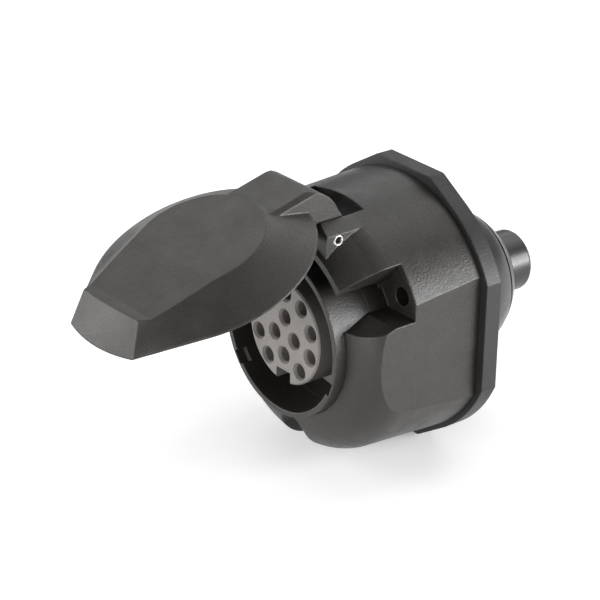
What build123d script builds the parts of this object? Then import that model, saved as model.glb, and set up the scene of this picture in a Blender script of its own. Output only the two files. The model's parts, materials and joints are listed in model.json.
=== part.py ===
from build123d import *
import os
from math import atan2, acos, cos, degrees, hypot, radians, sin

# 13-pole trailer socket, lid propped open.  Millimetres, +Z up, -Y is the plug side.
# Origin: centre of the three-hole mounting pattern, on the rear face of the flange gasket.

# ---- mounting flange and gasket ----
BOLT_SPACING = 56.0
BOLT_CIRCLE_R = BOLT_SPACING / 3 ** 0.5
BOLT_HOLE_R = 2.75
BOLT_ANGLES = (30, 150, 270)
GASKET_T = 5.4
GASKET_R = 41.2
GASKET_HALF_WIDTH = 37.7
GASKET_CORNER_X = 11.4
GASKET_CORNER_Z = 41.4

# ---- housing ----
BODY_REAR_Y = -GASKET_T
BODY_REAR_R = 39.7
BODY_R = 38.4
DOME_END_Y = -33.9
COLLAR_Y = -45.4
COLLAR_R = 28.3
COLLAR_RISE = 0.8
BODY_HALF_WIDTH = 35.0
TUBE_Y = -49.9
TUBE_R = 25.05
TUBE_BORE_R = 23.5
TUBE_END_Y = -36.0
TUBE_FIT = 0.04
WALL = 2.4

# ---- hood over the upper half, hinge ears and slot ----
HOOD_Y = -48.4
HOOD_R = 31.9
HOOD_MIDDLE_R = 35.8
HOOD_MIDDLE_Y = -42.0
HOOD_BORE_R = 29.8
POCKET_Y = -29.8
POCKET_RECESS = 0.9
POCKET_RIM = 1.9
POCKET_FLOOR_Z = 11.2
POCKET_FRONT_Z = 8.4
POCKET_SLOPE_Y = -37.0
POCKET_ROOF_X = 23.5
POCKET_ROOF_Z = 21.0
POCKET_ROOF_ANGLE = 50.0
LOWER_POCKET_R = 5.2
SLOT_Y = -29.3
SLOT_HALF_WIDTH = 10.9
EAR_X = 16.4
EAR_NOSE_R = 4.4

# ---- rear space and bosses ----
SEAT_Y = -26.0
SEAT_R = 27.6
SEAT_WALL_R = 29.8
BOSS_R = 4.9
BOOT_FLANGE_T = 2.0

# ---- hinge ----
PIN_Y = -43.1
PIN_Z = 32.9
PIN_R = 1.8
PIN_BORE_R = 0.95
PIN_HALF_LENGTH = 16.6
RUNNING_FIT = 0.08
SPRING_WIRE_R = 0.5
SPRING_PITCH = 1.25
SPRING_TURNS = 4 + 250 / 360
LID_LEG = 4.6
HOUSING_LEG = 8.6
SPRING_BAY_R = 3.9
OPEN_ANGLE = 68.0

# ---- contact insert ----
INSERT_Y = -48.4
INSERT_R = 15.8
INSERT_FLANGE_R = 27.3
INSERT_FLANGE_T = 3.0
SPIGOT_R = 23.3
SPIGOT_T = 2.6
INSERT_REAR_Y = -18.4
KEY_HALF_WIDTH = 3.15
KEY_TOP_Z = -11.9
CONTACT_RING_R = 12.2
CONTACT_RING_ANGLES = (90, 54, 18, -18, -54, -126, -162, 162, 126)
INNER_CONTACTS = ((0.0, 4.64), (4.41, -1.32), (0.0, -7.23), (-4.41, -1.32))
CONTACT_HOLE_R = 2.2
CONTACT_MOUTH_R = 2.75
SLEEVE_R = 2.1
SLEEVE_BORE_R = 1.3
SLEEVE_Y = -44.8
COLLAR_CONTACT_R = 2.45
COLLAR_CONTACT_Y = -23.4
BARREL_R = 1.95
BARREL_END_Y = -9.4
WIRE_BORE_R = 1.15
WIRE_BORE_LENGTH = 9.0
TERMINAL_SCREW_R = 0.85
TERMINAL_SCREW_Y = -12.4
RETAINER_T = 2.0
RETAINER_R = 16.4
FLANGE_SCREW_ANGLES = (0, 180, 240, 300)
FLANGE_SCREW_RING_R = 25.2

# ---- rear boot with its cable nozzle ----
BOOT_R = 25.4
BOOT_WALL = 2.2
BOOT_STRAIGHT_Y = 3.0
BOOT_DOME_LENGTH = 30.5
BOOT_FLANGE_R = 29.6
NOZZLE_R = 9.4
NOZZLE_BORE_R = 6.0
NOZZLE_END_Y = 40.5
NOZZLE_EDGE_R = 1.4
BOOT_GROOVE_Y = 21.5
BOOT_GROOVE_WIDTH = 1.0
BOOT_GROOVE_R = 18.9

# ---- lid, drawn closed and then swung open about the hinge pin ----
LID_TOP_Y = -60.25
LID_RIM_Y = -52.4
LID_TOP_R = 19.7
LID_TOP_Z = 0.3
LID_RIM_R = 33.0
LID_RIM_Z = -0.8
LIP_TOP_X = 12.7
LIP_TOP_Z = -31.0
LIP_RIM_X = 14.4
LIP_RIM_Z = -37.7
LIP_TOP_BULGE = 0.3
LIP_BULGE = 2.2
LID_WALL = 2.2
ARM_HALF_WIDTH = 10.4
ARM_CHAMFER = 1.3
GRIP_DEPTH = 1.1
SPRING_BAY_HALF_WIDTH = 4.7
SEAL_R = 26.0
SEAL_BORE_R = 22.4
SEAL_Y = -50.15


def along_y(radius, y0, y1, x=0.0, z=0.0):
    """A cylinder parallel to Y, from y0 to y1."""
    return Pos(x, (y0 + y1) / 2, z) * Rot(90, 0, 0) * Cylinder(radius, abs(y1 - y0))


def along_x(radius, x0, x1, y, z):
    """A cylinder parallel to X, from x0 to x1."""
    return Pos((x0 + x1) / 2, y, z) * Rot(0, 90, 0) * Cylinder(radius, abs(x1 - x0))


def ring_y(outer, inner, y0, y1):
    return along_y(outer, y0, y1) - along_y(inner, y0, y1)


def block(x0, x1, y0, y1, z0, z1):
    return Pos((x0 + x1) / 2, (y0 + y1) / 2, (z0 + z1) / 2) * Box(x1 - x0, y1 - y0, z1 - z0)


def turned(*edges):
    """A solid turned about Y from a closed outline of (radius, y) edges."""
    return revolve(make_face(Wire(edges)), Axis.Y)


def outline_edges(points):
    return [Line(a, b) for a, b in zip(points, points[1:])]


def prism_y(points, y0, y1):
    """A prism along Y whose outline is a list of (x, z) points."""
    corners = [Vector(x, y0, z) for x, z in points]
    return extrude(make_face(Polyline(*corners, close=True)), amount=y1 - y0, dir=(0, 1, 0))


def polar(radius, angle):
    return radius * cos(radians(angle)), radius * sin(radians(angle))


def bolt_centres():
    return [polar(BOLT_CIRCLE_R, angle) for angle in BOLT_ANGLES]


def contact_centres():
    return [polar(CONTACT_RING_R, angle) for angle in CONTACT_RING_ANGLES] + list(INNER_CONTACTS)


# ---------------------------------------------------------------- housing

def body_envelope(inset=0.0, front_inset=0.0):
    """The turned outer form: a slightly tapered drum with a domed front and a sloping collar."""
    front_y = COLLAR_Y + front_inset
    face_y = front_y - COLLAR_RISE
    front_r = COLLAR_R - inset * 0.4
    shoulder = (BODY_R - inset, DOME_END_Y)
    middle = (34.8 - inset, -42.0 + front_inset * 0.8)
    rear = (BODY_REAR_R - inset, BODY_REAR_Y)
    dome = ThreePointArc((front_r, front_y), middle, shoulder)
    face = [(0, BODY_REAR_Y), (0, face_y), (TUBE_R, face_y), (front_r, front_y)]
    return turned(dome, *outline_edges([shoulder, rear, *face]))


def hood():
    """The fuller upper half of the domed front, above the screw pockets' floor."""
    rim, shoulder = (HOOD_R, HOOD_Y), (BODY_R, DOME_END_Y)
    dome = ThreePointArc(rim, (HOOD_MIDDLE_R, HOOD_MIDDLE_Y), shoulder)
    rest = outline_edges([shoulder, (0, DOME_END_Y), (0, HOOD_Y), rim])
    return turned(dome, *rest) & block(-50, 50, HOOD_Y, DOME_END_Y, POCKET_FLOOR_Z, 50)


def ears():
    """Two hinge ears: the drum's full radius carried forward to a rounded nose round the pin."""
    drum = along_y(BODY_R, HOOD_Y, SLOT_Y)
    both = Part()
    for side in (-1, 1):
        x0, x1 = sorted((side * SLOT_HALF_WIDTH, side * EAR_X))
        straight = block(x0, x1, PIN_Y, SLOT_Y, 24, BODY_R)
        nose = along_x(EAR_NOSE_R, x0, x1, PIN_Y, PIN_Z)
        chin = block(x0, x1, PIN_Y - EAR_NOSE_R, PIN_Y, 28, PIN_Z)
        both += (straight + nose + chin) & drum
    return both


def upper_pocket(side):
    """A mounting-screw pocket beside the hood, open to the front, its floor sunk behind a rim."""
    dx, dz = polar(40, POCKET_ROOF_ANGLE)
    low_x = POCKET_ROOF_X - (POCKET_ROOF_Z - POCKET_FLOOR_Z) * dx / dz
    points = [(low_x, POCKET_FLOOR_Z), (60, POCKET_FLOOR_Z), (POCKET_ROOF_X + dx, POCKET_ROOF_Z + dz)]
    outline = [(side * x, z) for x, z in points]
    inner_drum = along_y(BODY_R - POCKET_RIM, POCKET_Y, POCKET_Y + POCKET_RECESS)
    recess = prism_y(outline, POCKET_Y, POCKET_Y + POCKET_RECESS) & inner_drum
    wedge = prism_y(outline, TUBE_Y, POCKET_Y) + sloping_floor(side) + recess
    return wedge - along_y(TUBE_R, TUBE_Y, POCKET_Y + POCKET_RECESS)


def sloping_floor(side):
    """The front of a pocket's floor, which falls towards the collar."""
    corners = [(POCKET_SLOPE_Y, POCKET_FLOOR_Z), (TUBE_Y, POCKET_FLOOR_Z)]
    corners += [(TUBE_Y, POCKET_FRONT_Z), (COLLAR_Y, POCKET_FRONT_Z)]
    face = make_face(Polyline(*[Vector(side * 12, y, z) for y, z in corners], close=True))
    return extrude(face, amount=BODY_HALF_WIDTH, dir=(side, 0, 0))


def lower_pocket():
    x, z = polar(BOLT_CIRCLE_R, 270)
    return along_y(LOWER_POCKET_R, TUBE_Y, POCKET_Y, x, z) + block(
        -LOWER_POCKET_R, LOWER_POCKET_R, TUBE_Y, POCKET_Y, -BODY_REAR_R, z)


def rear_space():
    """The wiring space behind the bulkhead, round the insert's seat."""
    drum = body_envelope(inset=WALL) & block(
        -BODY_HALF_WIDTH + WALL, BODY_HALF_WIDTH - WALL, SEAT_Y, BODY_REAR_Y, -50, 50)
    return drum - along_y(SEAT_WALL_R, SEAT_Y, BODY_REAR_Y)


def lower_hollow():
    """The cored-out space inside the lower half of the domed front."""
    dome = body_envelope(inset=WALL + 0.6, front_inset=WALL + 1.0)
    lower = block(-BODY_HALF_WIDTH + WALL, BODY_HALF_WIDTH - WALL, COLLAR_Y, SEAT_Y, -50, -3)
    keel = block(-LOWER_POCKET_R - WALL, LOWER_POCKET_R + WALL, COLLAR_Y, SEAT_Y, -50, -20)
    return (dome & lower) - along_y(SEAT_WALL_R, COLLAR_Y, SEAT_Y) - keel


def plug_tube():
    """The sleeve that the plug goes into, with three short bayonet notches in its mouth."""
    tube = ring_y(TUBE_R, TUBE_BORE_R, TUBE_Y, TUBE_END_Y)
    for angle in (-22, 98, 218):
        notch = block(TUBE_BORE_R - 1, TUBE_R - 0.5, TUBE_Y, TUBE_Y + 3.2, -2.2, 2.2)
        tube -= Rot(0, -angle, 0) * notch
    return tube


def housing():
    drum = body_envelope() + hood() + ears()
    drum &= block(-BODY_HALF_WIDTH, BODY_HALF_WIDTH, TUBE_Y, BODY_REAR_Y, -50, 50)
    drum -= rear_space() + lower_hollow()
    drum += bosses()
    drum -= along_y(TUBE_BORE_R, TUBE_Y, SEAT_Y) + along_y(TUBE_R + TUBE_FIT, TUBE_Y, TUBE_END_Y)
    drum -= along_y(SEAT_R, SEAT_Y, BODY_REAR_Y)
    gap = ring_y(HOOD_BORE_R, TUBE_R, TUBE_Y, POCKET_Y)
    drum -= gap & block(-50, 50, TUBE_Y, POCKET_Y, POCKET_FLOOR_Z, 50)
    drum -= block(-SLOT_HALF_WIDTH, SLOT_HALF_WIDTH, TUBE_Y, SLOT_Y, TUBE_R - 2, 50)
    drum -= upper_pocket(1) + upper_pocket(-1) + lower_pocket()
    drum -= ring_y(SEAT_WALL_R, SEAT_WALL_R - 5, BODY_REAR_Y - BOOT_FLANGE_T, BODY_REAR_Y) - bosses()
    drum += ring_y(TUBE_R, TUBE_BORE_R, TUBE_END_Y, SEAT_Y)
    for x, z in bolt_centres():
        drum -= along_y(BOLT_HOLE_R, POCKET_Y - 1, BODY_REAR_Y, x, z)
    for x, z in flange_screw_centres():
        drum -= along_y(1.05, SEAT_Y - 9, SEAT_Y, x, z)
    return drum - along_x(PIN_R + 0.03, -PIN_HALF_LENGTH, PIN_HALF_LENGTH, PIN_Y, PIN_Z)


def bosses():
    """The three posts that the mounting screws pass through."""
    group = Part()
    for x, z in bolt_centres():
        group += along_y(BOSS_R, SEAT_Y, BODY_REAR_Y, x, z)
    return group


# ---------------------------------------------------------------- contact insert

def flange_screw_centres():
    return [polar(FLANGE_SCREW_RING_R, angle) for angle in FLANGE_SCREW_ANGLES]


def contact_insert():
    """The moulded block that carries the contacts, with a key notch and a rear collar."""
    flange_end_y = SEAT_Y + INSERT_FLANGE_T
    body = along_y(INSERT_R, INSERT_Y, flange_end_y)
    body = chamfer(body.edges().filter_by(GeomType.CIRCLE).sort_by(Axis.Y)[0], 0.5)
    body -= block(-KEY_HALF_WIDTH, KEY_HALF_WIDTH, INSERT_Y, SEAT_Y - SPIGOT_T, -INSERT_R, KEY_TOP_Z)
    body += along_y(INSERT_R + 0.6, flange_end_y, INSERT_REAR_Y)
    for x, z in contact_centres():
        mouth = Pos(x, INSERT_Y + 0.45, z) * Rot(90, 0, 0) * Cone(CONTACT_HOLE_R, CONTACT_MOUTH_R, 0.9)
        body -= mouth + along_y(CONTACT_HOLE_R, INSERT_Y, INSERT_REAR_Y, x, z)
        body -= along_y(COLLAR_CONTACT_R + 0.05, COLLAR_CONTACT_Y, INSERT_REAR_Y, x, z)
    return body - along_y(1.35, INSERT_REAR_Y - 8, INSERT_REAR_Y)


def insert_flange():
    """The plate round the block: a sealed spigot in the housing's bore, and a screwed flange."""
    flange_end_y = SEAT_Y + INSERT_FLANGE_T
    plate = along_y(SPIGOT_R, SEAT_Y - SPIGOT_T, SEAT_Y) - insert_seal_groove()
    plate += along_y(INSERT_FLANGE_R, SEAT_Y, flange_end_y)
    for x, z in flange_screw_centres():
        plate -= along_y(1.5, SEAT_Y, flange_end_y, x, z)
    return plate - along_y(INSERT_R + TUBE_FIT, SEAT_Y - SPIGOT_T, flange_end_y)


def insert_seal_groove():
    middle_y = SEAT_Y - SPIGOT_T / 2
    return ring_y(SPIGOT_R + 1, SPIGOT_R - 1.25, middle_y - 0.8, middle_y + 0.8)


def insert_seal():
    """The O-ring round the insert's spigot."""
    section_r = 0.7
    seal = Torus(TUBE_BORE_R - section_r, section_r)
    return Pos(0, SEAT_Y - SPIGOT_T / 2, 0) * Rot(90, 0, 0) * seal


def contact(x, z):
    """One female contact: sleeve, collar and screw terminal."""
    body = along_y(SLEEVE_R, SLEEVE_Y, COLLAR_CONTACT_Y, x, z)
    body += along_y(COLLAR_CONTACT_R, COLLAR_CONTACT_Y, INSERT_REAR_Y, x, z)
    body += along_y(BARREL_R, INSERT_REAR_Y, BARREL_END_Y, x, z)
    body -= along_y(SLEEVE_BORE_R, SLEEVE_Y, SLEEVE_Y + 18, x, z)
    body -= along_y(WIRE_BORE_R, BARREL_END_Y - WIRE_BORE_LENGTH, BARREL_END_Y, x, z)
    slit = block(x - 0.15, x + 0.15, SLEEVE_Y, SLEEVE_Y + 10, z - 3, z + 3)
    body -= slit
    hole = radial_peg(x, z, TERMINAL_SCREW_R + 0.03, 0.0, BARREL_R + 1)
    return body - hole


def radial_peg(x, z, radius, inner, outer):
    """A peg across a terminal, pointing away from the socket's axis."""
    angle = degrees(atan2(z, x))
    peg = Pos((inner + outer) / 2, 0, 0) * Rot(0, 90, 0) * Cylinder(radius, outer - inner)
    return Pos(x, TERMINAL_SCREW_Y, z) * Rot(0, -angle, 0) * peg


def terminal_screws():
    """The thirteen slotted grub screws that clamp the wires."""
    screws = []
    for x, z in contact_centres():
        angle = degrees(atan2(z, x))
        tip = 0.9
        head = BARREL_R + 1.0
        slot = Pos(head, 0, 0) * Box(0.8, 2.0, 0.35)
        slot = Pos(x, TERMINAL_SCREW_Y, z) * Rot(0, -angle, 0) * slot
        screws.append(radial_peg(x, z, TERMINAL_SCREW_R, tip, head) - slot)
    return Compound(children=screws)


def contact_retainer():
    """The plate that keeps the contacts' collars in the insert."""
    end_y = INSERT_REAR_Y + RETAINER_T
    plate = along_y(RETAINER_R, INSERT_REAR_Y, end_y)
    plate = chamfer(plate.edges().filter_by(GeomType.CIRCLE).sort_by(Axis.Y)[-1], 0.5)
    for x, z in contact_centres():
        plate -= along_y(BARREL_R + 0.08, INSERT_REAR_Y, end_y, x, z)
    return plate - along_y(1.6, INSERT_REAR_Y, end_y)


def pan_screw(x, z, seat_y, shank_r, length, head_r, head_t):
    """A cross-recessed pan-head screw driven towards -Y."""
    screw = along_y(shank_r, seat_y - length, seat_y, x, z)
    screw += along_y(head_r, seat_y, seat_y + head_t, x, z)
    top = seat_y + head_t
    for turn in (0, 90):
        bar = Box(head_r * 1.1, head_t * 1.1, head_r * 0.3)
        screw -= Pos(x, top, z) * Rot(0, turn, 0) * bar
    return screw


def retainer_screw():
    return pan_screw(0, 0, INSERT_REAR_Y + RETAINER_T, 1.3, 9.0, 2.1, 1.5)


def insert_screws():
    """Four self-tapping screws that hold the insert's flange in the housing."""
    seat_y = SEAT_Y + INSERT_FLANGE_T
    screws = [pan_screw(x, z, seat_y, 1.0, 10.5, 2.1, 1.5) for x, z in flange_screw_centres()]
    return Compound(children=screws)


# ---------------------------------------------------------------- gasket and boot

def gasket_outline():
    """A round flange with flat sides, and blunt corners at top and bottom."""
    reach = hypot(GASKET_CORNER_X, GASKET_CORNER_Z)
    corner_angle = degrees(atan2(GASKET_CORNER_Z, GASKET_CORNER_X))
    tangent_angle = corner_angle - degrees(acos(GASKET_R / reach))
    side_angle = degrees(acos(GASKET_HALF_WIDTH / GASKET_R))
    tangent = polar(GASKET_R, tangent_angle)
    middle = polar(GASKET_R, (tangent_angle + side_angle) / 2)
    side = polar(GASKET_R, side_angle)
    corner = (GASKET_CORNER_X, GASKET_CORNER_Z)
    edges = []
    for sx, sz in ((1, 1), (1, -1), (-1, -1), (-1, 1)):
        a, b, c, d = [Vector(sx * x, 0, sz * z) for x, z in (corner, tangent, middle, side)]
        edges += [Line(a, b), ThreePointArc(b, c, d)]
    for sx in (1, -1):
        edges.append(Line(Vector(sx * side[0], 0, side[1]), Vector(sx * side[0], 0, -side[1])))
    for sz in (1, -1):
        edges.append(Line(Vector(-corner[0], 0, sz * corner[1]), Vector(corner[0], 0, sz * corner[1])))
    return make_face(Wire(edges))


def flange_gasket():
    """The thick rubber gasket between the housing and the vehicle's bracket."""
    plate = extrude(gasket_outline(), amount=GASKET_T, dir=(0, -1, 0))
    plate = fillet(plate.edges().filter_by(Axis.Y), 1.2)
    plate -= along_y(BOOT_R + 0.3, -GASKET_T, 0)
    for x, z in bolt_centres():
        plate -= along_y(BOLT_HOLE_R, -GASKET_T, 0, x, z)
    return plate


def dome_curve(radius, length, mouth_r):
    """A smooth curve along a quarter ellipse, from its full radius in to mouth_r."""
    last = degrees(acos(mouth_r / radius))
    points = []
    for step in range(7):
        across, along = polar(1.0, last * step / 6)
        points.append((radius * across, BOOT_STRAIGHT_Y + length * along))
    return Spline(*points)


def rear_boot():
    """The rubber boot over the terminals, with a tubular nozzle for the cable."""
    flange_y = BODY_REAR_Y - BOOT_FLANGE_T
    inner_r = BOOT_R - BOOT_WALL
    outer = dome_curve(BOOT_R, BOOT_DOME_LENGTH, NOZZLE_R)
    inner = dome_curve(inner_r, BOOT_DOME_LENGTH - BOOT_WALL, NOZZLE_BORE_R)
    base = [(inner_r, BOOT_STRAIGHT_Y), (inner_r, flange_y), (BOOT_FLANGE_R, flange_y)]
    base += [(BOOT_FLANGE_R, BODY_REAR_Y), (BOOT_R, BODY_REAR_Y), (BOOT_R, BOOT_STRAIGHT_Y)]
    tube = [outer @ 1, (NOZZLE_R, NOZZLE_END_Y), (NOZZLE_BORE_R, NOZZLE_END_Y), inner @ 1]
    boot = turned(*outline_edges(base), outer, *outline_edges(tube), inner)
    boot -= ring_y(BOOT_R, BOOT_GROOVE_R, BOOT_GROOVE_Y, BOOT_GROOVE_Y + BOOT_GROOVE_WIDTH)
    rim = boot.edges().filter_by(GeomType.CIRCLE).filter_by(lambda e: abs(e.radius - NOZZLE_R) < 0.01)
    boot = fillet(rim.sort_by(Axis.Y)[-1], NOZZLE_EDGE_R)
    for x, z in bolt_centres():
        boot -= along_y(BOSS_R + 0.3, flange_y, BODY_REAR_Y, x, z)
    return boot


# ---------------------------------------------------------------- hinge and lid

def hinge_pin():
    """A tubular steel pin through both ears."""
    pin = along_x(PIN_R, -PIN_HALF_LENGTH, PIN_HALF_LENGTH, PIN_Y, PIN_Z)
    pin -= along_x(PIN_BORE_R, -PIN_HALF_LENGTH, PIN_HALF_LENGTH, PIN_Y, PIN_Z)
    return chamfer(pin.edges().filter_by(GeomType.CIRCLE), 0.25)


def lid_spring():
    """The torsion spring that closes the lid: a coil round the pin with two legs."""
    height = SPRING_PITCH * SPRING_TURNS
    helix = Helix(SPRING_PITCH, height, PIN_R + 0.35 + SPRING_WIRE_R)
    lid_leg = Line(helix @ 0 - (helix % 0) * LID_LEG, helix @ 0)
    housing_leg = Line(helix @ 1, helix @ 1 + (helix % 1) * HOUSING_LEG)
    path = Wire([lid_leg, helix, housing_leg])
    section = Plane(origin=lid_leg @ 0, z_dir=lid_leg % 0) * Circle(SPRING_WIRE_R)
    spring = sweep(section, path)
    return Pos(-height / 2, PIN_Y, PIN_Z) * Rot(0, 90, 0) * spring


def lid_outline(y, radius, centre_z, lip_x, lip_z, bulge):
    """The lid's outline in a plane of constant y: a circle drawn out to a straight lip."""
    reach = hypot(lip_x, lip_z - centre_z)
    lip_angle = degrees(atan2(lip_z - centre_z, lip_x))
    tangent_angle = lip_angle + degrees(acos(radius / reach))
    x, z = polar(radius, tangent_angle)
    right, left = Vector(x, y, z + centre_z), Vector(-x, y, z + centre_z)
    top = Vector(0, y, centre_z + radius)
    lip_right, lip_left = Vector(lip_x, y, lip_z), Vector(-lip_x, y, lip_z)
    lip_middle = Vector(0, y, lip_z - bulge)
    edges = [ThreePointArc(right, top, left), Line(left, lip_left)]
    edges += [ThreePointArc(lip_left, lip_middle, lip_right), Line(lip_right, right)]
    return make_face(Wire(edges))


def lid_form(inset):
    """The lid's sloping form, or, with an inset, the hollow under it."""
    top_lip = (LIP_TOP_X - inset * 0.6, LIP_TOP_Z + inset * 1.2)
    rim_lip = (LIP_RIM_X - inset * 1.3, LIP_RIM_Z + inset * 1.5)
    top = lid_outline(LID_TOP_Y + inset, LID_TOP_R - inset * 0.3, LID_TOP_Z, *top_lip, LIP_TOP_BULGE)
    rim = lid_outline(LID_RIM_Y, LID_RIM_R - inset * 1.9, LID_RIM_Z, *rim_lip, LIP_BULGE)
    return loft([rim, top], ruled=True)


def arm_outline():
    """Side view of the closed lid's hinge arm: out over the hood and round the pin."""
    tail = Vector(0, PIN_Y - 3.8, PIN_Z + 6.6)
    start = Vector(0, LID_TOP_Y, 14.0)
    crest = Vector(0, PIN_Y - 14.8, PIN_Z - 0.6)
    bend = Vector(0, PIN_Y - 11.2, PIN_Z + 4.0)
    heel = Vector(0, PIN_Y + 5.2, PIN_Z + 3.6)
    heel_middle = Vector(0, PIN_Y + 1.6, PIN_Z + 6.7)
    toe = Vector(0, PIN_Y + 3.9, PIN_Z - 3.0)
    toe_middle = Vector(0, PIN_Y + 6.2, PIN_Z + 0.2)
    under = Vector(0, PIN_Y - 1.0, PIN_Z - 4.6)
    rim = Vector(0, LID_RIM_Y, PIN_Z - 8.6)
    root = Vector(0, LID_RIM_Y, 14.0)
    edges = [Line(start, crest), ThreePointArc(crest, bend, tail), ThreePointArc(tail, heel_middle, heel)]
    edges += [ThreePointArc(heel, toe_middle, toe), Line(toe, under), Line(under, rim)]
    edges += [Line(rim, root), Line(root, start)]
    return make_face(Wire(edges))


def arm_bevels():
    """Two triangular bars that bevel the arm's long outer edges."""
    bars = Part()
    for side in (-1, 1):
        edge = Vector(side * ARM_HALF_WIDTH, LID_TOP_Y, 14)
        inner = edge - Vector(side * ARM_CHAMFER, 0, 0)
        deeper = edge + Vector(0, ARM_CHAMFER, 0)
        rise = Vector(0, PIN_Y - 14.8 - LID_TOP_Y, PIN_Z - 14.6)
        outward = Vector(side, -2, 0)
        face = make_face(Polyline(inner - rise, edge + outward - rise, deeper - rise, close=True))
        bars += extrude(face, amount=2.4 * rise.length, dir=rise.normalized())
    return bars


def grip_hollow():
    """A shallow hollow across the lid behind its lip, for a finger."""
    corners = [(LID_TOP_Y, LIP_TOP_Z + 0.5), (LID_TOP_Y + GRIP_DEPTH, LIP_TOP_Z + 3.2)]
    corners += [(LID_TOP_Y, -9.0), (LID_TOP_Y - 1, -9.0), (LID_TOP_Y - 1, LIP_TOP_Z + 0.5)]
    face = make_face(Polyline(*[Vector(-20, y, z) for y, z in corners], close=True))
    return extrude(face, amount=40, dir=(1, 0, 0))


def lid_closed():
    shell = lid_form(0.0) - lid_form(LID_WALL)
    face = Pos(-ARM_HALF_WIDTH, 0, 0) * arm_outline()
    arm = extrude(face, amount=2 * ARM_HALF_WIDTH, dir=(1, 0, 0)) - arm_bevels()
    bay = along_x(SPRING_BAY_R, -SPRING_BAY_HALF_WIDTH, SPRING_BAY_HALF_WIDTH, PIN_Y, PIN_Z)
    bay += block(-SPRING_BAY_HALF_WIDTH, SPRING_BAY_HALF_WIDTH, PIN_Y - 7.2, PIN_Y + 7, PIN_Z - 10, PIN_Z)
    lid = shell + arm - bay - grip_hollow()
    lid += ring_y(SEAL_R - 0.4, SEAL_BORE_R + 0.4, LID_TOP_Y + LID_WALL, LID_RIM_Y - 0.6) & lid_form(0.5)
    lid -= ring_y(SEAL_R + 0.15, SEAL_BORE_R - 0.15, LID_RIM_Y - 0.6, SEAL_Y + 0.5)
    lid -= along_x(PIN_R + RUNNING_FIT, -ARM_HALF_WIDTH - 1, ARM_HALF_WIDTH + 1, PIN_Y, PIN_Z)
    return lid


def lid_seal_closed():
    """The soft ring in the lid that presses on the mouth of the tube."""
    return ring_y(SEAL_R, SEAL_BORE_R, LID_RIM_Y - 0.6, SEAL_Y)


def swung_open(shape):
    hinge = Axis((0, PIN_Y, PIN_Z), (-1, 0, 0))
    return shape.rotate(hinge, OPEN_ANGLE)


# ---------------------------------------------------------------- assembly

def main():
    os.makedirs("parts", exist_ok=True)
    parts = {
        "housing": housing(),
        "plug_tube": plug_tube(),
        "contact_insert": contact_insert(),
        "insert_flange": insert_flange(),
        "insert_seal": insert_seal(),
        "terminal_screws": terminal_screws(),
        "contact_retainer": contact_retainer(),
        "retainer_screw": retainer_screw(),
        "insert_screws": insert_screws(),
        "flange_gasket": flange_gasket(),
        "rear_boot": rear_boot(),
        "hinge_pin": hinge_pin(),
        "lid_spring": lid_spring(),
        "lid": swung_open(lid_closed()),
        "lid_seal": swung_open(lid_seal_closed()),
    }
    for number, (x, z) in enumerate(contact_centres(), 1):
        parts[f"contact_{number:02d}"] = contact(x, z)
    for name, shape in parts.items():
        export_step(shape, f"parts/{name}.step")


main()
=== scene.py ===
import json
import math

import bpy
from mathutils import Matrix, Vector


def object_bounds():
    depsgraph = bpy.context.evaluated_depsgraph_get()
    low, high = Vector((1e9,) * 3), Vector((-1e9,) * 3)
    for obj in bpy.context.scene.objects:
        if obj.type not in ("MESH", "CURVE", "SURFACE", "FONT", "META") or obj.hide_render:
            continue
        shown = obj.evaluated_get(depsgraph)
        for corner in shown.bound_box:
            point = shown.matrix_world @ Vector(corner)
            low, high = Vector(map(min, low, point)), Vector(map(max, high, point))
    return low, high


# Looks of a 13-pole trailer socket with an open lid. Metres, in the CAD frame: +Z up, -Y the plug side.

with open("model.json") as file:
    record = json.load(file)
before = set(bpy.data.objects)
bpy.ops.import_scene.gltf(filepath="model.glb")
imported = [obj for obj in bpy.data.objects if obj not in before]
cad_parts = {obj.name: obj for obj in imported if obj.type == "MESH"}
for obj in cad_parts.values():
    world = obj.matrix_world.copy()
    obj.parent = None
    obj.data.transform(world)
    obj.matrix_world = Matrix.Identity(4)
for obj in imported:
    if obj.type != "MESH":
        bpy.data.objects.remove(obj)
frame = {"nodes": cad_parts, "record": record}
NODES = frame["nodes"]
CAD_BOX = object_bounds()

# ---- camera, fitted to the view: angles in degrees, distances in metres, the lens in millimetres ----
AZIMUTH = 50.42
ELEVATION = 24.60
ROLL = 1.40
LENS = 159.6
SENSOR_WIDTH = 36.0
DISTANCE = 0.760
CLIP_START = 0.05
AIM = Vector((0, -0.0484, 0))
SHIFT_RIGHT = 0.00453
SHIFT_UP = 0.00920

# ---- noise textures: scale in cycles per metre, detail in octaves, roughness from 0 to 1 ----
MOTTLE_NOISE = (90.0, 4.0, 0.6)
WEAR_NOISE = (420.0, 5.0, 0.7)
SHINE_NOISE = (160.0, 5.0, 0.7)
PAPER_NOISE = (2.0, 3.0, 0.5)

# ---- the grain's noise, whose scale is each finish's own: detail and roughness ----
GRAIN_DETAIL = (2.0, 0.6)

# ---- scratches: a noise drawn out along Y, with its cycles per metre along X, Y and Z ----
SCRATCH_SCALES = (2600.0, 120.0, 2600.0)
SCRATCH_DETAIL = 3.0

# ---- the stretch of a noise's values that a change runs over: most of them, or only the middle ----
MOST = (0.3, 0.7)
MIDDLE = (0.35, 0.65)

# ---- how strong and how deep the textures are ----
SPECKLE = 0.14
SMOOTHER = 0.07
ROUGHER = 0.08
GRAIN_DEPTH = 0.0002
SCRATCH_DEPTH = 0.0001

# ---- edge wear: its width against the edge's radius, and where it starts and is full, as one less the
# cosine between the rounded normal and the true one ----
WEAR_WIDTH = 1.6
WEAR_STARTS = 0.02
WEAR_FULL = 0.25

# ---- rays that round a normal, for the wear and for the shape ----
WEAR_SAMPLES = 4
ROUND_SAMPLES = 6

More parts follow.
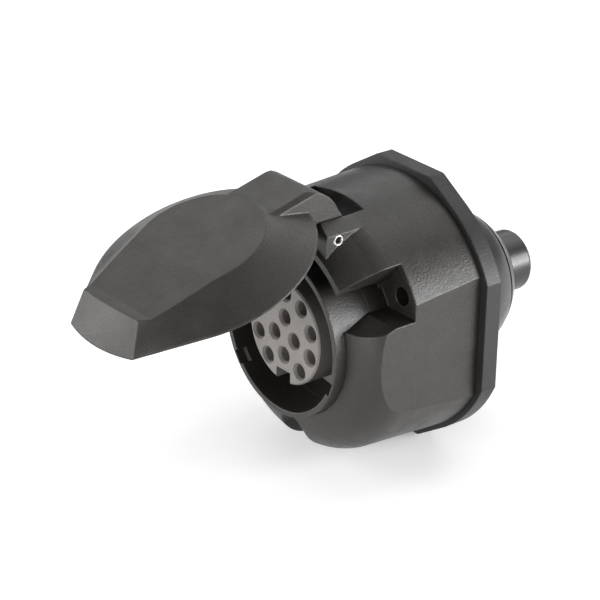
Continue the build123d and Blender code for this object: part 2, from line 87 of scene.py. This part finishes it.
# ---- a Mix node's sockets for colours, which share their names with its other sockets ----
MIX_FACTOR = 0
MIX_A = 6
MIX_B = 7
MIX_RESULT = 2

# ---- studio ----
WHITE = (1.0, 1.0, 1.0, 1.0)
WORLD_STRENGTH = 0.25
LAMP_AIM = Vector((0, -0.03, 0))
FLOOR_REACH = 4.0
FLOOR_GAP = 0.0004
FLOOR_ROUGHNESS = 0.9
FLOOR_SPECULAR = 0.1
FLOOR_GLOW = 0.22
FLOOR_DARK = 0.93
FLOOR_LIGHT = 0.95

# Each lamp's name, place, width and height, and power in watts. All face the same point on the socket.
SOFTBOXES = (
    ("left", (-1.20, -0.95, 0.42), (1.2, 0.8), 13.7),
    ("front_low", (-0.30, -1.55, -0.01), (0.9, 0.5), 10.0),
    ("front", (0.35, -1.50, 0.35), (0.7, 0.6), 12.4),
    ("back", (-0.75, 1.15, 1.00), (1.5, 0.9), 5.9),
    ("right", (1.15, 1.00, 0.36), (0.8, 0.7), 21.8),
    ("right_low", (1.30, 0.55, 0.05), (0.8, 0.5), 20.6),
    ("top", (0.05, 0.15, 1.7), (0.9, 0.9), 2.1),
    ("top_left", (-1.15, 0.10, 1.35), (1.0, 1.0), 5.7),
    ("top_back", (0.05, 1.15, 1.45), (1.0, 0.9), 4.4),
)

# Each slot's finish. base is the colour, rough about the mean roughness, and edge the radius of its edges.
# grain and grain_scale are the grain's strength and its cycles per metre. mottle, wear, metallic, specular
# and scratch are strengths from 0 to 1.
FINISHES = {
    "shell_plastic": dict(
        base=(0.0165, 0.0148, 0.0134), rough=0.40, edge=0.0006, grain=0.40, grain_scale=1500.0,
        mottle=0.10, wear=0.25, wear_colour=(0.16, 0.15, 0.145)),
    "lid_plastic": dict(
        base=(0.0200, 0.0178, 0.0160), rough=0.42, edge=0.0006, grain=0.45, grain_scale=1450.0,
        mottle=0.10, wear=0.30, wear_colour=(0.17, 0.16, 0.15)),
    "insert_plastic": dict(
        base=(0.155, 0.143, 0.134), rough=0.5, edge=0.0003, grain=0.12, grain_scale=2600.0,
        mottle=0.08, wear=0.15, wear_colour=(0.30, 0.28, 0.26)),
    "gasket_rubber": dict(
        base=(0.014, 0.0135, 0.013), rough=0.45, edge=0.0006, grain=0.35, grain_scale=1800.0,
        mottle=0.15, specular=0.4),
    "boot_rubber": dict(
        base=(0.016, 0.0155, 0.0155), rough=0.32, edge=0.0006, grain=0.15, grain_scale=1500.0, mottle=0.15),
    "seal_rubber": dict(
        base=(0.020, 0.020, 0.020), rough=0.6, edge=0.0004, grain=0.20, grain_scale=1500.0, mottle=0.15),
    "contact_brass": dict(
        base=(0.16, 0.135, 0.10), rough=0.45, edge=0.0001, grain=0.06, grain_scale=2500.0,
        mottle=0.25, wear=0.3, wear_colour=(0.75, 0.62, 0.38), metallic=1.0, scratch=0.15),
    "screw_steel": dict(
        base=(0.55, 0.54, 0.50), rough=0.34, edge=0.00012, grain=0.06, grain_scale=2500.0,
        mottle=0.15, wear=0.3, wear_colour=(0.75, 0.74, 0.72), metallic=1.0, scratch=0.12),
    "pin_steel": dict(
        base=(0.50, 0.49, 0.47), rough=0.38, edge=0.00015, grain=0.05, grain_scale=2500.0,
        mottle=0.12, wear=0.2, wear_colour=(0.75, 0.74, 0.72), metallic=1.0, scratch=0.20),
    "spring_steel": dict(
        base=(0.42, 0.41, 0.40), rough=0.30, edge=0.0001, grain=0.05, grain_scale=2500.0,
        mottle=0.12, metallic=1.0, scratch=0.15),
}


# ---------------------------------------------------------------- shader helpers

def new_material(name):
    material = bpy.data.materials.new(name)
    material.use_nodes = True
    material.node_tree.nodes.clear()
    return material, material.node_tree


def node(tree, kind, inputs=None, **settings):
    """A shader node with its settings and the values of its named or numbered inputs."""
    made = tree.nodes.new("ShaderNode" + kind)
    for key, value in (inputs or {}).items():
        made.inputs[key].default_value = value
    for key, value in settings.items():
        setattr(made, key, value)
    return made


def principled(tree, inputs):
    """The material's one shader, joined to its output."""
    shader = node(tree, "BsdfPrincipled", inputs)
    output = node(tree, "OutputMaterial")
    tree.links.new(shader.outputs["BSDF"], output.inputs["Surface"])
    return shader


def noise(tree, scale, detail, roughness):
    coordinates = node(tree, "TexCoord")
    made = node(tree, "TexNoise", {"Scale": scale, "Detail": detail, "Roughness": roughness})
    tree.links.new(coordinates.outputs["Object"], made.inputs["Vector"])
    return made.outputs["Fac"]


def ramp(tree, value, places, colours):
    """The first colour up to the value's first place, the second from its second, and a blend between."""
    made = node(tree, "ValToRGB")
    for element, place, colour in zip(made.color_ramp.elements, places, colours):
        element.position = place
        element.color = (*colour, 1.0)
    tree.links.new(value, made.inputs["Fac"])
    return made.outputs["Color"]


def spread(tree, value, places, results):
    """The value brought from one range to another, and held inside it."""
    made = node(tree, "MapRange")
    names = ("From Min", "From Max", "To Min", "To Max")
    for name, number in zip(names, (*places, *results)):
        made.inputs[name].default_value = number
    tree.links.new(value, made.inputs["Value"])
    return made.outputs["Result"]


def grey(level):
    return (level, level, level)


def scaled(colour, factor):
    return tuple(channel * factor for channel in colour)


def edge_mask(tree, radius):
    """White along edges: how far a normal that is rounded over them turns from the true one."""
    round_normal = node(tree, "Bevel", {"Radius": radius}, samples=WEAR_SAMPLES)
    true_normal = node(tree, "NewGeometry")
    dot = node(tree, "VectorMath", operation="DOT_PRODUCT")
    tree.links.new(round_normal.outputs["Normal"], dot.inputs[0])
    tree.links.new(true_normal.outputs["Normal"], dot.inputs[1])
    return spread(tree, dot.outputs["Value"], (1.0 - WEAR_FULL, 1.0 - WEAR_STARTS), (1.0, 0.0))


# ---------------------------------------------------------------- materials

def moulded_colour(tree, fine, base, mottle):
    """The base colour in slightly lighter and darker patches, speckled by the grain."""
    patches = noise(tree, *MOTTLE_NOISE)
    patchy = ramp(tree, patches, MOST, (scaled(base, 1 - mottle), scaled(base, 1 + mottle)))
    speckle = ramp(tree, fine, MIDDLE, (grey(1 - SPECKLE), grey(1 + SPECKLE)))
    product = node(tree, "Mix", {MIX_FACTOR: 1.0}, data_type="RGBA", blend_type="MULTIPLY")
    tree.links.new(patchy, product.inputs[MIX_A])
    tree.links.new(speckle, product.inputs[MIX_B])
    return product.outputs[MIX_RESULT]


def worn_colour(tree, colour, edge, wear, wear_colour):
    """The colour rubbed to a lighter one along edges, in broken patches."""
    edges = edge_mask(tree, edge * WEAR_WIDTH)
    patches = spread(tree, noise(tree, *WEAR_NOISE), MIDDLE, (0.0, wear))
    broken = node(tree, "Math", operation="MULTIPLY")
    tree.links.new(edges, broken.inputs[0])
    tree.links.new(patches, broken.inputs[1])
    rubbed = node(tree, "Mix", {MIX_B: (*wear_colour, 1.0)}, data_type="RGBA", blend_type="MIX")
    tree.links.new(broken.outputs["Value"], rubbed.inputs[MIX_FACTOR])
    tree.links.new(colour, rubbed.inputs[MIX_A])
    return rubbed.outputs[MIX_RESULT]


def scratched(tree, bump, scratch):
    """Fine drawn lines on top of the grain."""
    coordinates = node(tree, "TexCoord")
    stretch = node(tree, "Mapping", {"Scale": SCRATCH_SCALES})
    tree.links.new(coordinates.outputs["Object"], stretch.inputs["Vector"])
    lines = node(tree, "TexNoise", {"Scale": 1.0, "Detail": SCRATCH_DETAIL})
    tree.links.new(stretch.outputs["Vector"], lines.inputs["Vector"])
    made = node(tree, "Bump", {"Strength": scratch, "Distance": SCRATCH_DEPTH})
    tree.links.new(lines.outputs["Fac"], made.inputs["Height"])
    tree.links.new(bump.outputs["Normal"], made.inputs["Normal"])
    return made


def surface(name, base, rough, edge, grain, grain_scale, mottle,
            wear=0.0, wear_colour=None, metallic=0.0, specular=0.5, scratch=0.0):
    """A moulded, drawn or plated surface with rounded edges, grain, mottling, edge wear and scratches."""
    material, tree = new_material(name)
    shader = principled(tree, {"Metallic": metallic, "Specular IOR Level": specular})
    fine = noise(tree, grain_scale, *GRAIN_DETAIL)
    colour = moulded_colour(tree, fine, base, mottle)
    if wear:
        colour = worn_colour(tree, colour, edge, wear, wear_colour)
    tree.links.new(colour, shader.inputs["Base Color"])
    shine = spread(tree, noise(tree, *SHINE_NOISE), MOST, (rough - SMOOTHER, rough + ROUGHER))
    tree.links.new(shine, shader.inputs["Roughness"])
    round_normal = node(tree, "Bevel", {"Radius": edge}, samples=ROUND_SAMPLES)
    bump = node(tree, "Bump", {"Strength": grain, "Distance": GRAIN_DEPTH})
    tree.links.new(fine, bump.inputs["Height"])
    tree.links.new(round_normal.outputs["Normal"], bump.inputs["Normal"])
    if scratch:
        bump = scratched(tree, bump, scratch)
    tree.links.new(bump.outputs["Normal"], shader.inputs["Normal"])
    return material


def dress_nodes():
    """Each CAD node takes the material of its slot in the record."""
    materials = {slot: surface(slot, **finish) for slot, finish in FINISHES.items()}
    for part in frame["record"]["subparts"]:
        mesh = NODES[part["node"]].data
        mesh.materials.clear()
        mesh.materials.append(materials[part["material_slot"]])


# ---------------------------------------------------------------- studio

def view_axes():
    """The camera's right, up and forward directions, after its small roll."""
    a, e, r = (math.radians(angle) for angle in (AZIMUTH, ELEVATION, ROLL))
    right = Vector((math.cos(a), math.sin(a), 0))
    up = Vector((-math.sin(a) * math.sin(e), math.cos(a) * math.sin(e), math.cos(e)))
    forward = Vector((-math.sin(a) * math.cos(e), math.cos(a) * math.cos(e), -math.sin(e)))
    rolled_right = right * math.cos(r) + up * math.sin(r)
    rolled_up = up * math.cos(r) - right * math.sin(r)
    return rolled_right, rolled_up, forward


def add_object(name, data):
    made = bpy.data.objects.new(name, data)
    bpy.context.scene.collection.objects.link(made)
    return made


def add_camera():
    right, up, forward = view_axes()
    data = bpy.data.cameras.new("camera")
    data.lens = LENS
    data.sensor_width = SENSOR_WIDTH
    data.clip_start = CLIP_START
    camera = add_object("camera", data)
    place = AIM + right * SHIFT_RIGHT + up * SHIFT_UP - forward * DISTANCE
    turn = Matrix((right, up, -forward)).transposed().to_4x4()
    camera.matrix_world = Matrix.Translation(place) @ turn
    bpy.context.scene.camera = camera


def add_softbox(name, place, size, watts):
    data = bpy.data.lights.new(name, "AREA")
    data.shape = "RECTANGLE"
    data.size, data.size_y = size
    data.energy = watts
    lamp = add_object(name, data)
    lamp.location = place
    lamp.rotation_euler = (LAMP_AIM - Vector(place)).to_track_quat("-Z", "Y").to_euler()


def add_floor():
    """A large pale sheet of paper just under the part, mottled, that glows a little as on a light table."""
    z = CAD_BOX[0][2] - FLOOR_GAP
    mesh = bpy.data.meshes.new("floor")
    signs = ((-1, -1), (1, -1), (1, 1), (-1, 1))
    mesh.from_pydata([(x * FLOOR_REACH, y * FLOOR_REACH, z) for x, y in signs], [], [(0, 1, 2, 3)])
    floor = add_object("floor", mesh)
    material, tree = new_material("floor_paper")
    shader = principled(tree, {
        "Roughness": FLOOR_ROUGHNESS,
        "Specular IOR Level": FLOOR_SPECULAR,
        "Emission Color": WHITE,
        "Emission Strength": FLOOR_GLOW,
    })
    tone = ramp(tree, noise(tree, *PAPER_NOISE), MOST, (grey(FLOOR_DARK), grey(FLOOR_LIGHT)))
    tree.links.new(tone, shader.inputs["Base Color"])
    mesh.materials.append(material)


def add_studio():
    """Soft white light from all round: a dim white world and a ring of softboxes."""
    scene = bpy.context.scene
    scene.view_settings.view_transform = "Standard"
    world = bpy.data.worlds.new("studio")
    world.use_nodes = True
    background = world.node_tree.nodes["Background"]
    background.inputs["Color"].default_value = WHITE
    background.inputs["Strength"].default_value = WORLD_STRENGTH
    scene.world = world
    for name, place, size, watts in SOFTBOXES:
        add_softbox(name, place, size, watts)


def main():
    dress_nodes()
    add_camera()
    add_floor()
    add_studio()


main()
